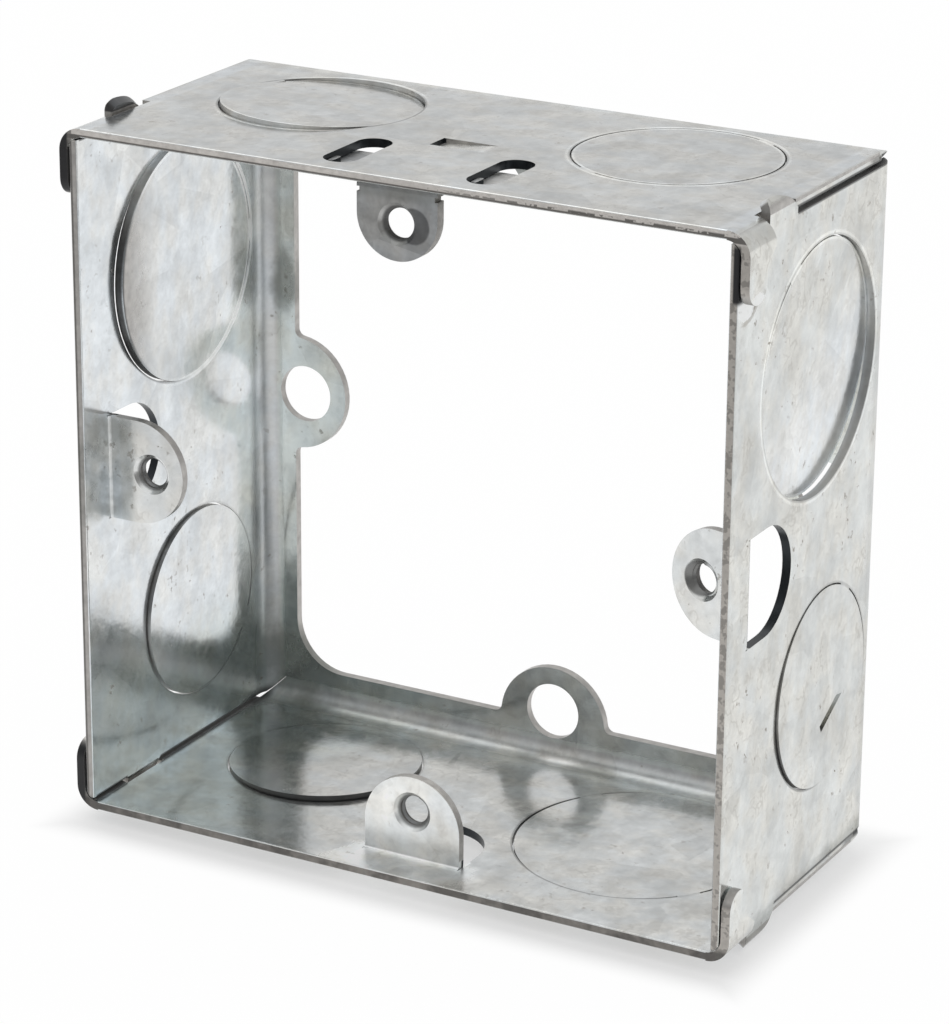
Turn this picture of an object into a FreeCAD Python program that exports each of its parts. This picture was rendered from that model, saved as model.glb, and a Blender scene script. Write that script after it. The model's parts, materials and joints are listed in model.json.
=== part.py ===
"""Extension back box: a folded galvanised steel frame that deepens a one-gang wall box.

The frame is one blank of thin sheet. A square ring at the rear carries four ears with
clearance holes, and four walls are folded forward from it. The walls are pierced by
part-sheared knockout discs, three of them carry a fixing lug that is cut free on three
sides and folded inwards, and small tabs lap round the open corners. A second piece, the
adjustable lug, lies under the top wall and slides sideways along two slots.

The origin is the centre of the rear face. +Y points out of the rear, so the open front
faces -Y, and +Z is up. All sizes are millimetres. A set back is measured from the front
edge of the walls towards the rear.
"""
import FreeCAD, Part
import math
import os
from FreeCAD import Rotation, Vector

# Outer form
width = 72.0
height = 72.0
depth = 35.0
sheet = 0.9
rear_bend_radius = 3.0
edge_radius = 0.2

# Rear ring and its ears
ring_width = 4.6
ring_corner_radius = 5.6
fixing_set_in = 5.85
ear_radius = 6.15
ear_hole = 6.1
ear_blend_radius = 0.8

# Open corners, where the top and bottom walls cover the ends of the side walls
corner_gap = 0.35
cover_set_in = 0.35
mitre_gap = 0.1

# Front tabs, folded from the top and bottom walls over the outside of the side walls
front_tab_width = 3.8
front_tab_root_width = 5.6
front_tab_taper = 1.4
front_tab_length = 7.1
front_tab_bend_radius = 2.4
front_tab_clearance = 0.2
front_relief_gap = 0.1

# Side tabs, folded from the side walls over the outside of the top and bottom walls
side_tab_set_back = 6.3
side_tab_width = 6.0
side_tab_fold_degrees = 35.0
side_tab_flap = 0.5
side_tab_bend_radius = 0.6
side_tab_rise = 0.5
side_tab_corner_radius = 0.8
side_tab_run_out = 2.0
notch_margin = 0.2

# Fixing lugs cut from the side and bottom walls
lug_set_back = 4.4
lug_width = 10.8
lug_reach = 9.6
lug_bend_radius = 0.4
lug_shear_gap = 0.1
neutral_line = 0.44
right_lug_lean_degrees = 16.5

# Tapped hole in every lug, drawn down to a short collar at the rear
thread_bore = 3.2
thread_entry = 4.2
collar_wall = 0.7
collar_length = 0.6

# Adjustable lug and the slots that guide it
slider_sheet = 1.2
slider_clearance = 0.08
slider_bend_radius = 0.5
slider_plate_width = 22.4
slider_plate_front = 4.2
slider_plate_rear = 10.0
slider_tab_width = 8.8
slider_tip_below_hole = 3.65
slider_neck_cut = 0.3
slider_neck_length = 0.5
slider_slit = 0.5
slider_offset = -1.75
slider_travel = 1.4
guide_width = 0.6
guide_length = 1.8
guide_sunk = 0.5
slot_spacing = 15.5
slot_shift = 0.25
slot_set_back = 2.2
slot_length = 9.5
slot_clearance = 0.1

# Stop dent pressed into the top wall behind the adjustable lug
dent_shift = 0.35
dent_set_back = 12.2
dent_length = 6.0
dent_width = 2.8
dent_depth = 0.45

# Strike mark left by a chisel on the lower right knockout
strike_along = 18.5
strike_from_rear = 11.1
strike_degrees = 27.0
strike_wheel = 7.0
strike_width = 0.8
strike_depth = 0.35

# Knockouts
small_knockout = 20.6
large_knockout = 25.4
shear_gap = 0.18
tie_width = 2.4
tie_overlap = 0.4

# How far the centre of a knockout sits from the middle of its wall and from the rear face
small_along = 19.7
small_from_rear = 14.5
large_along = 18.1
large_from_rear = 16.4
right_small_along = 15.3
right_small_from_rear = 13.5

# Values worked out from the sizes above
front = -depth
half_width = width / 2
half_height = height / 2
slot_width = guide_width + 2 * (slider_travel + slot_clearance)
big = 4 * max(width, height, depth)


def block(x0, x1, y0, y1, z0, z1):
    """A box between two corners."""
    return Part.makeBox(x1 - x0, y1 - y0, z1 - z0, Vector(x0, y0, z0))


def rod(radius, start, end):
    """A cylinder between two points."""
    axis = end - start
    return Part.makeCylinder(radius, axis.Length, start, axis)


def face_of(edges):
    """A flat face inside a closed run of edges."""
    return Part.Face(Part.Wire([edge.toShape() for edge in edges]))


def line(a, b):
    return Part.LineSegment(a, b)


def arc(a, middle, b):
    return Part.Arc(a, middle, b)


def on_circle(centre, radius, degrees, first, second):
    """The point of a circle in the plane of two unit vectors."""
    turn = math.radians(degrees)
    return centre + first * (radius * math.cos(turn)) + second * (radius * math.sin(turn))


def rounded_rectangle(centre, size_a, size_b, radius, first, second):
    """The edges of a rectangle with round corners, in the plane of two unit vectors."""
    edges = []
    corners = [(1, 1, 0), (-1, 1, 90), (-1, -1, 180), (1, -1, 270)]
    inner_a = size_a / 2 - radius
    inner_b = size_b / 2 - radius
    last = None
    for sign_a, sign_b, turn in corners:
        pivot = centre + first * (sign_a * inner_a) + second * (sign_b * inner_b)
        start = on_circle(pivot, radius, turn, first, second)
        middle = on_circle(pivot, radius, turn + 45, first, second)
        end = on_circle(pivot, radius, turn + 90, first, second)
        if last is None:
            opening_point = start
        elif (start - last).Length > 1e-6:
            edges.append(line(last, start))
        edges.append(arc(start, middle, end))
        last = end
    if (opening_point - last).Length > 1e-6:
        edges.append(line(last, opening_point))
    return edges


def turned(shape, degrees):
    """A copy turned about the depth axis, so that what faces +Z faces another side."""
    copy = shape.copy()
    copy.rotate(Vector(0, 0, 0), Vector(0, 1, 0), degrees)
    return copy


X = Vector(1, 0, 0)
Y = Vector(0, 1, 0)
Z = Vector(0, 0, 1)

# The four sides: the turn that brings a wall modelled on top to its side, the distance
# of its outer face from the centre, and half the distance between its neighbours
SIDES = {
    "top": (0, half_height, half_width),
    "right": (90, half_width, half_height),
    "bottom": (180, half_height, half_width),
    "left": (270, half_width, half_height),
}
COVERING = ("top", "bottom")


def wall_flat(outer, reach):
    """The flat part of a wall on top, with the front edge eased by the shears."""
    inner = outer - sheet
    rear = -rear_bend_radius
    r = edge_radius
    ease = r * (1 - math.sqrt(0.5))
    edges = [
        line(Vector(0, rear, outer), Vector(0, front + r, outer)),
        arc(Vector(0, front + r, outer), Vector(0, front + ease, outer - ease),
            Vector(0, front, outer - r)),
        line(Vector(0, front, outer - r), Vector(0, front, inner + r)),
        arc(Vector(0, front, inner + r), Vector(0, front + ease, inner + ease),
            Vector(0, front + r, inner)),
        line(Vector(0, front + r, inner), Vector(0, rear, inner)),
        line(Vector(0, rear, inner), Vector(0, rear, outer)),
    ]
    flat = face_of(edges)
    flat.translate(Vector(-reach, 0, 0))
    return flat.extrude(Vector(2 * reach, 0, 0))


def bend_solid(centre, inner_radius, thickness, start, end, first, second, run, length):
    """A bend of sheet between two angles: a ring sector swept along its axis."""
    outer_radius = inner_radius + thickness
    middle = (start + end) / 2
    edges = [
        arc(on_circle(centre, outer_radius, start, first, second),
            on_circle(centre, outer_radius, middle, first, second),
            on_circle(centre, outer_radius, end, first, second)),
        line(on_circle(centre, outer_radius, end, first, second),
             on_circle(centre, inner_radius, end, first, second)),
        arc(on_circle(centre, inner_radius, end, first, second),
            on_circle(centre, inner_radius, middle, first, second),
            on_circle(centre, inner_radius, start, first, second)),
        line(on_circle(centre, inner_radius, start, first, second),
             on_circle(centre, outer_radius, start, first, second)),
    ]
    return face_of(edges).extrude(run * length)


def rear_bend(outer, reach):
    """The bend between a wall on top and the rear ring, mitred towards its neighbours."""
    centre = Vector(-reach, -rear_bend_radius, outer - rear_bend_radius)
    inner_radius = rear_bend_radius - sheet
    bend = bend_solid(centre, inner_radius, sheet, 0, 90, Y, Z, X, 2 * reach)
    low = outer - 2 * rear_bend_radius
    high = outer + rear_bend_radius
    drop = mitre_gap / 2 * math.sqrt(2)
    corner = [
        Vector(low, -depth, low + drop),
        Vector(high, -depth, high + drop),
        Vector(high, -depth, low + drop),
        Vector(low, -depth, low + drop),
    ]
    mitre = Part.Face(Part.makePolygon(corner)).extrude(Y * (depth + 1))
    return bend.cut([mitre, mitre.mirror(Vector(0, 0, 0), X)])


def rear_ring():
    """The flat square ring at the rear with its rounded opening."""
    flat_x = half_width - rear_bend_radius
    flat_z = half_height - rear_bend_radius
    plate = block(-flat_x, flat_x, -sheet, 0, -flat_z, flat_z)
    opening_x = width - 2 * ring_width
    opening_z = height - 2 * ring_width
    outline = rounded_rectangle(Vector(0, -sheet - 1, 0), opening_x, opening_z,
                                ring_corner_radius, X, Z)
    return plate.cut(face_of(outline).extrude(Vector(0, sheet + 2, 0)))


def ear(outer):
    """A half round ear on the top run of the ring, blended into its edge."""
    edge = outer - ring_width
    centre = Vector(0, -sheet, edge)
    reach = ear_radius + ear_blend_radius
    side = math.sqrt(reach ** 2 - ear_blend_radius ** 2)
    share = ear_radius / reach

    def corner(sign):
        blend = Vector(sign * side, -sheet, edge - ear_blend_radius)
        touch = centre + (blend - centre) * share
        on_edge = Vector(sign * side, -sheet, edge)
        towards = ((touch - blend) + (on_edge - blend)).normalize()
        return on_edge, blend + towards * ear_blend_radius, touch

    left_edge, left_middle, left_touch = corner(-1)
    right_edge, right_middle, right_touch = corner(1)
    seat = Vector(0, 0, (ring_width - rear_bend_radius) / 2)
    outline = [
        arc(left_edge, left_middle, left_touch),
        arc(left_touch, centre - Z * ear_radius, right_touch),
        arc(right_touch, right_middle, right_edge),
        line(right_edge, right_edge + seat),
        line(right_edge + seat, left_edge + seat),
        line(left_edge + seat, left_edge),
    ]
    return face_of(outline).extrude(Y * sheet)


def ear_bore(outer):
    """The clearance hole of the ear on top."""
    row = outer - fixing_set_in
    return rod(ear_hole / 2, Vector(0, -sheet - 1, row), Vector(0, 1, row))


def front_tab(outer, across):
    """A tab of the top wall at its +X end, folded down over the outside of the side wall."""
    face_in = across + front_tab_clearance
    inner_radius = front_tab_bend_radius - sheet
    pivot = Vector(face_in + sheet - front_tab_bend_radius, front, outer - front_tab_bend_radius)
    bend = bend_solid(pivot, inner_radius, sheet, 0, 90, X, Z, Y, front_tab_root_width)
    tip = outer - front_tab_length
    centre = Vector(face_in, front + front_tab_width / 2, (pivot.z + tip) / 2)
    round_end = front_tab_width / 2
    corners = [
        Vector(face_in, front, pivot.z),
        Vector(face_in, front + front_tab_root_width, pivot.z),
        Vector(face_in, front + front_tab_width, pivot.z - front_tab_taper),
        Vector(face_in, front + front_tab_width, tip + round_end),
        Vector(face_in, front, tip + round_end),
        Vector(face_in, front, pivot.z),
    ]
    straight = Part.Face(Part.makePolygon(corners)).extrude(X * sheet)
    nose = rod(round_end, Vector(face_in, centre.y, tip + round_end),
               Vector(face_in + sheet, centre.y, tip + round_end))
    return bend.fuse([straight, nose])


def front_tab_root(across):
    """Where the flat of the top wall gives way to the front tab's bend."""
    return across + front_tab_clearance + sheet - front_tab_bend_radius


def corner_notch(outer, across):
    """What is cleared from the +X end of the top wall for the tabs of both walls."""
    root = front_tab_root(across)
    low = outer - sheet - 1
    high = outer + 1
    y1 = front + side_tab_set_back + side_tab_width + notch_margin
    return block(root, across + 1, front - 1, y1, low, high)


def side_tab_outline(tip, y0, y1):
    """The shape of a side tab laid flat: tallest at its front corner, running out rearwards."""
    r = side_tab_corner_radius
    ease = r * (1 - math.sqrt(0.5))
    root = tip - 2 * depth
    at = lambda x, y: Vector(x, y, -depth)
    middle = (y0 + r + y1) / 2
    return [
        line(at(root, y0), at(tip - r, y0)),
        arc(at(tip - r, y0), at(tip - ease, y0 + ease), at(tip, y0 + r)),
        arc(at(tip, y0 + r), at(tip - side_tab_run_out / 4, middle), at(tip - side_tab_run_out, y1)),
        line(at(tip - side_tab_run_out, y1), at(root, y1)),
        line(at(root, y1), at(root, y0)),
    ]


def side_tab(outer, across):
    """A tab of a side wall, modelled on top, folded part way over its +X neighbour."""
    y0 = front + side_tab_set_back
    y1 = y0 + side_tab_width
    inner = outer - sheet
    r = side_tab_bend_radius
    fold = math.radians(side_tab_fold_degrees)
    pivot = Vector(across + side_tab_rise - r * math.sin(fold), y0, inner - r)
    stem = block(across - sheet - corner_gap, pivot.x, y0, y1, inner, outer)
    bend = bend_solid(pivot, r, sheet, 90 - side_tab_fold_degrees, 90, X, Z, Y, side_tab_width)
    flap = block(pivot.x, pivot.x + side_tab_flap, y0, y1, inner, outer)
    flap.rotate(pivot, Y, side_tab_fold_degrees)
    trim = face_of(side_tab_outline(pivot.x + side_tab_flap, y0, y1)).extrude(Z * (4 * depth))
    trim.rotate(pivot, Y, side_tab_fold_degrees)
    return stem.fuse([bend, flap]).common(trim)


def side_front_relief(outer, across):
    """The corner of a side wall, modelled on top, eased to the inside of the front tab's bend."""
    radius = front_tab_bend_radius
    pivot = Vector(across - radius, front - 1, outer + front_tab_clearance + sheet - radius)
    rear = front + front_tab_root_width + front_relief_gap
    corner = block(pivot.x, across + 1, front - 1, rear, pivot.z, outer + 1)
    inside = rod(radius - sheet - front_relief_gap, pivot, Vector(pivot.x, rear, pivot.z))
    return corner.cut(inside)


def thread_hole(centre, face_y, back_y):
    """The hole of a lug with its eased entry at the front."""
    lead = (thread_entry - thread_bore) / 2
    bore = rod(thread_bore / 2, Vector(centre.x, face_y - 1, centre.z),
               Vector(centre.x, back_y + collar_length + 1, centre.z))
    entry = Part.makeCone(thread_entry / 2, thread_bore / 2, lead,
                          Vector(centre.x, face_y, centre.z), Y)
    return bore.fuse(entry)


def thread_collar(centre, back_y):
    """The short collar that the drawn hole leaves at the rear of a lug."""
    radius = thread_bore / 2 + collar_wall
    return rod(radius, Vector(centre.x, back_y, centre.z),
               Vector(centre.x, back_y + collar_length, centre.z))


def lug_outline(outer, half, tip):
    """The D shape of a lug, seen from the front: round at its tip, square at its fold."""
    row = tip + half
    at = lambda x, z: Vector(x, front, z)
    return [
        line(at(half, outer), at(half, row)),
        arc(at(half, row), at(0, tip), at(-half, row)),
        line(at(-half, row), at(-half, outer)),
        line(at(-half, outer), at(half, outer)),
    ]


def fixed_lug(outer, lean_degrees):
    """A lug of the wall on top: its fold and its D shaped plate, with the drawn hole."""
    half = lug_width / 2
    tip = outer - lug_reach
    y0 = front + lug_set_back
    y1 = y0 + sheet
    r = lug_bend_radius
    pivot = Vector(-half, y0 - r, outer - sheet - r)
    bend = bend_solid(pivot, r, sheet, lean_degrees, 90, Y, Z, X, lug_width)
    shape = face_of(lug_outline(outer, half, tip)).extrude(Y * depth)
    plate = block(-half, half, y0, y1, tip, pivot.z).common(shape)
    hole = Vector(0, 0, outer - fixing_set_in)
    plate = plate.fuse(thread_collar(hole, y1)).cut(thread_hole(hole, y0, y1))
    plate.rotate(pivot, X, lean_degrees)
    return bend.fuse(plate)


def lug_window(outer):
    """The D shaped hole that a fixed lug leaves in the wall on top."""
    half = lug_width / 2 + lug_shear_gap
    start = front + lug_set_back - lug_bend_radius
    fold = math.pi / 2 * (lug_bend_radius + neutral_line * sheet)
    flat = lug_reach - sheet - lug_bend_radius
    end = start + fold + flat
    row = end - half
    z = outer - sheet - 1
    outline = [
        line(Vector(-half, start, z), Vector(half, start, z)),
        line(Vector(half, start, z), Vector(half, row, z)),
        arc(Vector(half, row, z), Vector(0, end, z), Vector(-half, row, z)),
        line(Vector(-half, row, z), Vector(-half, start, z)),
    ]
    return face_of(outline).extrude(Z * (sheet + 2))


def guide_slots(outer):
    """The two slots in the top wall that the adjustable lug's guides ride in."""
    radius = slot_width / 2
    middle = front + slot_set_back + slot_length / 2
    slots = []
    for sign in (-1, 1):
        centre = Vector(slot_shift + sign * slot_spacing / 2, middle, outer - sheet - 1)
        outline = rounded_rectangle(centre, slot_width, slot_length, radius * 0.98, X, Y)
        slots.append(face_of(outline).extrude(Z * (sheet + 2)))
    return slots


def dent_wedge(level):
    """The wedge of the stop dent, deep at its left end and running out to the right."""
    y0 = front + dent_set_back
    left = dent_shift - dent_length / 2
    corners = [
        Vector(left, y0, level),
        Vector(left + dent_length, y0, level),
        Vector(left, y0, level - dent_depth),
        Vector(left, y0, level),
    ]
    return Part.Face(Part.makePolygon(corners)).extrude(Y * dent_width)


def strike_mark(outer):
    """The shallow groove of a strike on the outside of a wall on top."""
    centre = Vector(strike_along, -strike_from_rear, outer + strike_wheel - strike_depth)
    axis = on_circle(Vector(0, 0, 0), 1, strike_degrees, X, Y)
    half = axis * (strike_width / 2)
    return rod(strike_wheel, centre - half, centre + half)


class Knockout:
    """A part-sheared disc in a wall that is modelled on top, knocked out of its wall a little.

    Its edge stands out by open_height in the direction open_degrees, or in where that is
    negative. A hinged disc has one tie, on the far side. Another has two and tips about both.
    """

    def __init__(self, along, from_rear, diameter, open_degrees, open_height, hinged):
        self.along = along
        self.from_rear = from_rear
        self.radius = diameter / 2
        self.open_degrees = open_degrees
        self.open_height = open_height
        self.hinged = hinged

    def hole(self, outer):
        base = Vector(self.along, -self.from_rear, outer - sheet - 1)
        return rod(self.radius, base, base + Z * (sheet + 2))

    def disc(self, outer):
        """The disc and the ties that hold it, at the ends of the line it tipped about."""
        radius = self.radius - shear_gap
        base = Vector(self.along, -self.from_rear, outer - sheet)
        axis = on_circle(Vector(0, 0, 0), 1, self.open_degrees - 90, X, Y)
        arm = self.radius if self.hinged else 0
        pivot = on_circle(base + Z * (sheet / 2), arm, self.open_degrees + 180, X, Y)
        tilt = math.degrees(math.asin(self.open_height / (self.radius + arm)))
        disc = rod(radius, base, base + Z * sheet)
        disc.rotate(pivot, axis, tilt)
        tie = block(radius - tie_overlap, self.radius + tie_overlap,
                    -tie_width / 2, tie_width / 2, 0, sheet)
        ties = []
        for turn in (180,) if self.hinged else (90, -90):
            copy = tie.copy()
            copy.rotate(Vector(0, 0, 0), Z, self.open_degrees + turn)
            copy.translate(base)
            ties.append(copy)
        return disc.fuse(ties)


KNOCKOUTS = {
    "top": [
        Knockout(-small_along, small_from_rear, small_knockout, 240, 0.54, False),
        Knockout(small_along, small_from_rear, small_knockout, -30, 0.0, False),
    ],
    "right": [
        Knockout(-large_along, large_from_rear, large_knockout, 30, -1.2, True),
        Knockout(right_small_along, right_small_from_rear, small_knockout, -30, 0.35, True),
    ],
    "bottom": [
        Knockout(small_along, small_from_rear, small_knockout, 234, -0.6, True),
        Knockout(-large_along, large_from_rear, large_knockout, -50, 0.15, False),
    ],
    "left": [
        Knockout(large_along, large_from_rear, large_knockout, -90, -0.9, True),
        Knockout(-small_along, small_from_rear, small_knockout, -60, -0.5, True),
    ],
}


def make_box():
    """The folded frame as one solid."""
    body = rear_ring()
    for name, (degrees, outer, across) in SIDES.items():
        body = body.fuse(turned(ear(outer), degrees))
    for name, (degrees, outer, across) in SIDES.items():
        covering = name in COVERING
        inner_across = across - sheet
        reach = across - cover_set_in if covering else inner_across - corner_gap
        wall = wall_flat(outer, reach).fuse(rear_bend(outer, reach))
        cut = corner_notch(outer, across) if covering else side_front_relief(outer, across)
        wall = wall.cut([cut, cut.mirror(Vector(0, 0, 0), X)])
        tab = front_tab(outer, across) if covering else side_tab(outer, across)
        wall = wall.fuse([tab, tab.mirror(Vector(0, 0, 0), X)])
        if name == "top":
            wall = wall.cut(guide_slots(outer))
            wall = wall.cut(dent_wedge(outer)).fuse(dent_wedge(outer - sheet))
        else:
            lean_degrees = right_lug_lean_degrees if name == "right" else 0
            wall = wall.cut(lug_window(outer)).fuse(fixed_lug(outer, lean_degrees))
        for knockout in KNOCKOUTS[name]:
            wall = wall.cut(knockout.hole(outer)).fuse(knockout.disc(outer))
        if name == "right":
            wall = wall.cut(strike_mark(outer))
        body = body.fuse(turned(wall, degrees))
    bores = [turned(ear_bore(outer), degrees) for degrees, outer, across in SIDES.values()]
    return body.cut(bores).removeSplitter()


def make_adjustable_lug():
    """The sliding lug: a base plate with two guides, and a D shaped plate folded down."""
    row = half_height - fixing_set_in
    top = half_height - sheet - slider_clearance
    under = top - slider_sheet
    y0 = front + lug_set_back
    y1 = y0 + slider_sheet
    r = slider_bend_radius
    half = slider_tab_width / 2
    pivot = Vector(-half, y1 + r, under - r)
    bend = bend_solid(pivot, r, slider_sheet, 90, 180, Y, Z, X, slider_tab_width)
    tip = row - slider_tip_below_hole
    tab_plate = block(-half, half, y0, y1, tip, pivot.z)
    shape = face_of(lug_outline(half_height, half, tip)).extrude(Y * depth)
    tab = bend.fuse(tab_plate).common(shape)
    for sign in (-1, 1):
        neck = block(half - slider_neck_cut, half + 1, y0 - 1, y1 + 1,
                     pivot.z - slider_neck_length, pivot.z)
        tab = tab.cut(neck if sign > 0 else neck.mirror(Vector(0, 0, 0), X))

    plate_half = slider_plate_width / 2
    plate = block(-plate_half, plate_half, front + slider_plate_front,
                  front + slider_plate_rear, under, top)
    throat = block(-half - slider_slit, half + slider_slit, front, pivot.y, under - 1, top + 1)
    plate = plate.cut(throat)
    lug = plate.fuse(tab)

    guide_height = sheet + slider_clearance - guide_sunk
    guide_middle = front + slot_set_back + slot_width / 2 + guide_length / 2
    guide_shift = slot_shift - slider_travel - slider_offset
    for sign in (-1, 1):
        centre = Vector(guide_shift + sign * slot_spacing / 2, guide_middle, top)
        outline = rounded_rectangle(centre, guide_width, guide_length, guide_width * 0.45, X, Y)
        lug = lug.fuse(face_of(outline).extrude(Z * guide_height))

    hole = Vector(0, 0, row)
    lug = lug.cut(thread_hole(hole, y0, y1))
    lug.translate(Vector(slider_offset, 0, 0))
    return lug.removeSplitter()


def main():
    os.makedirs("parts", exist_ok=True)
    nodes = {"box": make_box(), "adjustable_lug": make_adjustable_lug()}
    for name, shape in nodes.items():
        print(name, "solids", len(shape.Solids), "valid", shape.isValid(),
              "volume", round(shape.Volume, 1))
        shape.exportStep("parts/" + name + ".step")


main()
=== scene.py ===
"""Extension back box: finishes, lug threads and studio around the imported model."""

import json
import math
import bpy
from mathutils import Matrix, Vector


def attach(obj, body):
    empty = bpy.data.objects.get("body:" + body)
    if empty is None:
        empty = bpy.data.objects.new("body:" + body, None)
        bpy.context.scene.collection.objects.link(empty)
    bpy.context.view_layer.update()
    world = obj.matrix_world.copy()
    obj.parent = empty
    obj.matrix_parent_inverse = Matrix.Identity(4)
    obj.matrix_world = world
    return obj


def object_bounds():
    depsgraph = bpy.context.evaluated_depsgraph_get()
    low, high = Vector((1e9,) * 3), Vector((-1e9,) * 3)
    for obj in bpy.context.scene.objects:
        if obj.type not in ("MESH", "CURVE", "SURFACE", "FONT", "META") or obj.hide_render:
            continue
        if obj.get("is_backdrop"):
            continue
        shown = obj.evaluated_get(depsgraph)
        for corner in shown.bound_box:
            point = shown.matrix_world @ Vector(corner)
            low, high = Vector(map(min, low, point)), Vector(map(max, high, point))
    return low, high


bl_info = {
    "name": "Extension back box",
    "version": (1, 0, 0),
    "blender": (4, 5, 0),
    "location": "View3D > Sidebar > Back box",
    "description": "Galvanised finishes, lug threads and a pale studio for an extension back box",
    "category": "Object",
}

import bpy
from bpy.props import FloatProperty, FloatVectorProperty, IntProperty, PointerProperty
from bpy.types import Operator, Panel, PropertyGroup
from mathutils import Matrix, Vector

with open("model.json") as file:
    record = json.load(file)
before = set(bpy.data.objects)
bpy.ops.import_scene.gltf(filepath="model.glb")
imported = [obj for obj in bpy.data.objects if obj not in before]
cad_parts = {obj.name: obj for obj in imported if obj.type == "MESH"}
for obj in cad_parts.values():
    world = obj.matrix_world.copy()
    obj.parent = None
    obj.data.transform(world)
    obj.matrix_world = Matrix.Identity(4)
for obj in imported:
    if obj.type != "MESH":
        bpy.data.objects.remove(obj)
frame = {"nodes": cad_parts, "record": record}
cad_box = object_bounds()

RECORD_COLOURS = {row["slot"]: row["base_color"] for row in frame["record"]["materials"]}


# Tables of the galvanised finish. Places are in millimetres from the middle of the rear face,
# with X to the right, Y to the rear and Z up.

MILLIMETRES = 1000.0

# Each row limits one coordinate: its name, from where, to where, and how far either side of a
# limit the change takes. None leaves a side open. "out" is the larger of abs_x and abs_z, and
# "along" is the smaller.
REGIONS = {
    # Sheared edges, and the openings whose cut faces get painted shade
    "walls": [("out", 34.35, None, 0.15)],
    "ahead_of_bend": [("y", None, -3.5, 0.1)],
    "lug_bend": [("along", None, 5.9, 0.1), ("y", -31.2, -30.2, 0.1)],
    "front_rim": [("y", None, -34.85, 0.1)],
    "window": [("along", None, 5.9, 0.1), ("y", -30.1, -19.6, 0.1), ("z", None, 34.6, 0.1)],
    "slot": [("abs_x", 5.4, 10.2, 0.1), ("y", -33.2, -22.8, 0.1), ("z", 34.6, None, 0.1)],
    "dent_end": [("x", -2.9, -2.4, 0.05), ("y", -23.2, -19.6, 0.1), ("z", 34.6, None, 0.1)],
    "strike_mark": [("x", 35.4, None, 0.2), ("y", -15.0, -7.2, 0.1), ("z", -22.5, -14.5, 0.1)],
    # Front rim, where "left_to_right" and "torn_rim" change over much of its length
    "left_to_right": [("x", 0.0, None, 34.0)],
    # The upper rim gets a painted highlight, and the lower rim patchy painted shade
    "upper_rim": [("z", 34.75, None, 0.25)],
    "lower_rim": [("z", None, -34.75, 0.25)],
    # The lower part of the top rim and the outer side of the left rim get painted shade
    "under_top_rim": [("z", 34.9, 35.4, 0.06)],
    "torn_rim": [("z", 34.9, 35.6, 0.1), ("x", 5.0, None, 15.0)],
    "left_rim": [("x", None, -35.65, 0.05)],
    "right_rim": [("x", 35.1, None, 0.1)],
    # Faces of the walls and of the rear ring, several with painted light or shade
    "knocked_walls": [("out", 33.6, None, 0.1)],
    "side_insides": [("abs_x", 33.75, None, 0.25), ("abs_x", None, 35.4, 0.2)],
    "right_outside": [("x", 35.4, None, 0.2)],
    "right_face": [("x", 35.85, None, 0.05)],
    "left_inside_foot": [("z", None, -22.5, 4.5), ("x", -35.4, -34.8, 0.1)],
    "floor_left": [("x", None, -16.0, 6.0), ("z", -35.4, -34.8, 0.1)],
    "floor": [("z", -35.3, -34.9, 0.1)],
    "top_outside": [("z", 35.1, None, 0.1)],
    "upper_side_walls": [("abs_x", 33.9, None, 0.1), ("z", 0.5, None, 0.5)],
    "ring_face": [("y", -1.0, None, 0.05)],
    "ring": [("y", -2.1, None, 0.9)],
    "rear_bend": [("y", -3.5, None, 0.5), ("out", 33.1, None, 0.3)],
    # Places with painted light
    "bottom_lug": [
        ("abs_x", None, 5.7, 0.1),
        ("y", None, -28.7, 0.1),
        ("z", None, -26.5, 0.3),
    ],
    "before_bottom_lug": [
        ("abs_x", None, 8.0, 2.0),
        ("y", None, -29.6, 0.6),
        ("z", None, -34.9, 0.1),
    ],
    "dent_slope": [("x", -2.6, 3.6, 0.1), ("y", -22.9, -19.9, 0.1), ("z", 35.3, 35.98, 0.02)],
    # Painted reflection and painted shade
    # Painted reflection of the left lug
    "left_lug_reflection": [
        ("x", None, -33.0, 1.2),
        ("y", None, -28.7, 0.1),
        ("abs_z", None, 5.15, 0.65),
    ],
    # Painted shade along the adjustable lug's top
    "lug_top_shade": [
        ("abs_x", None, 7.5, 0.1),
        ("y", None, -28.7, 0.1),
        ("z", 32.5, 34.8, 0.4),
    ],
    "left_tabs": [("x", None, -36.15, 0.15), ("y", None, -34.0, 0.6)],
    "upper_left_tab": [("x", None, -30.5, 0.5), ("z", 36.2, None, 0.1)],
    "under_right_tab": [
        ("x", 35.45, 36.15, 0.1),
        ("y", None, -34.05, 0.55),
        ("z", 29.2, 34.6, 0.3),
    ],
    "seam": [
        ("abs_x", 34.9, 36.1, 0.1),
        ("y", -34.5, None, 0.2),
        ("abs_z", 34.6, 35.3, 0.08),
    ],
    "side_tab": [("y", -28.8, -22.6, 0.1)],
    "rear_corner": [
        ("abs_x", 34.2, None, 0.6),
        ("abs_x", None, 35.7, 0.2),
        ("y", -5.35, None, 0.85),
        ("abs_z", 34.2, None, 0.6),
        ("abs_z", None, 35.7, 0.2),
    ],
    "lug_plates": [("y", None, -27.25, 0.25)],
}

# Uneven ovals: their two axes, the middle and the half sizes
OVALS = {
    "upper_ring_oval": ("xz", (-32.6, 12.0), (1.6, 3.4)),
    "lower_ring_oval": ("xz", (-31.5, -31.0), (5.0, 4.2)),
    "scuff": ("yz", (-33.4, 28.6), (2.1, 1.4)),
}
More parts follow.
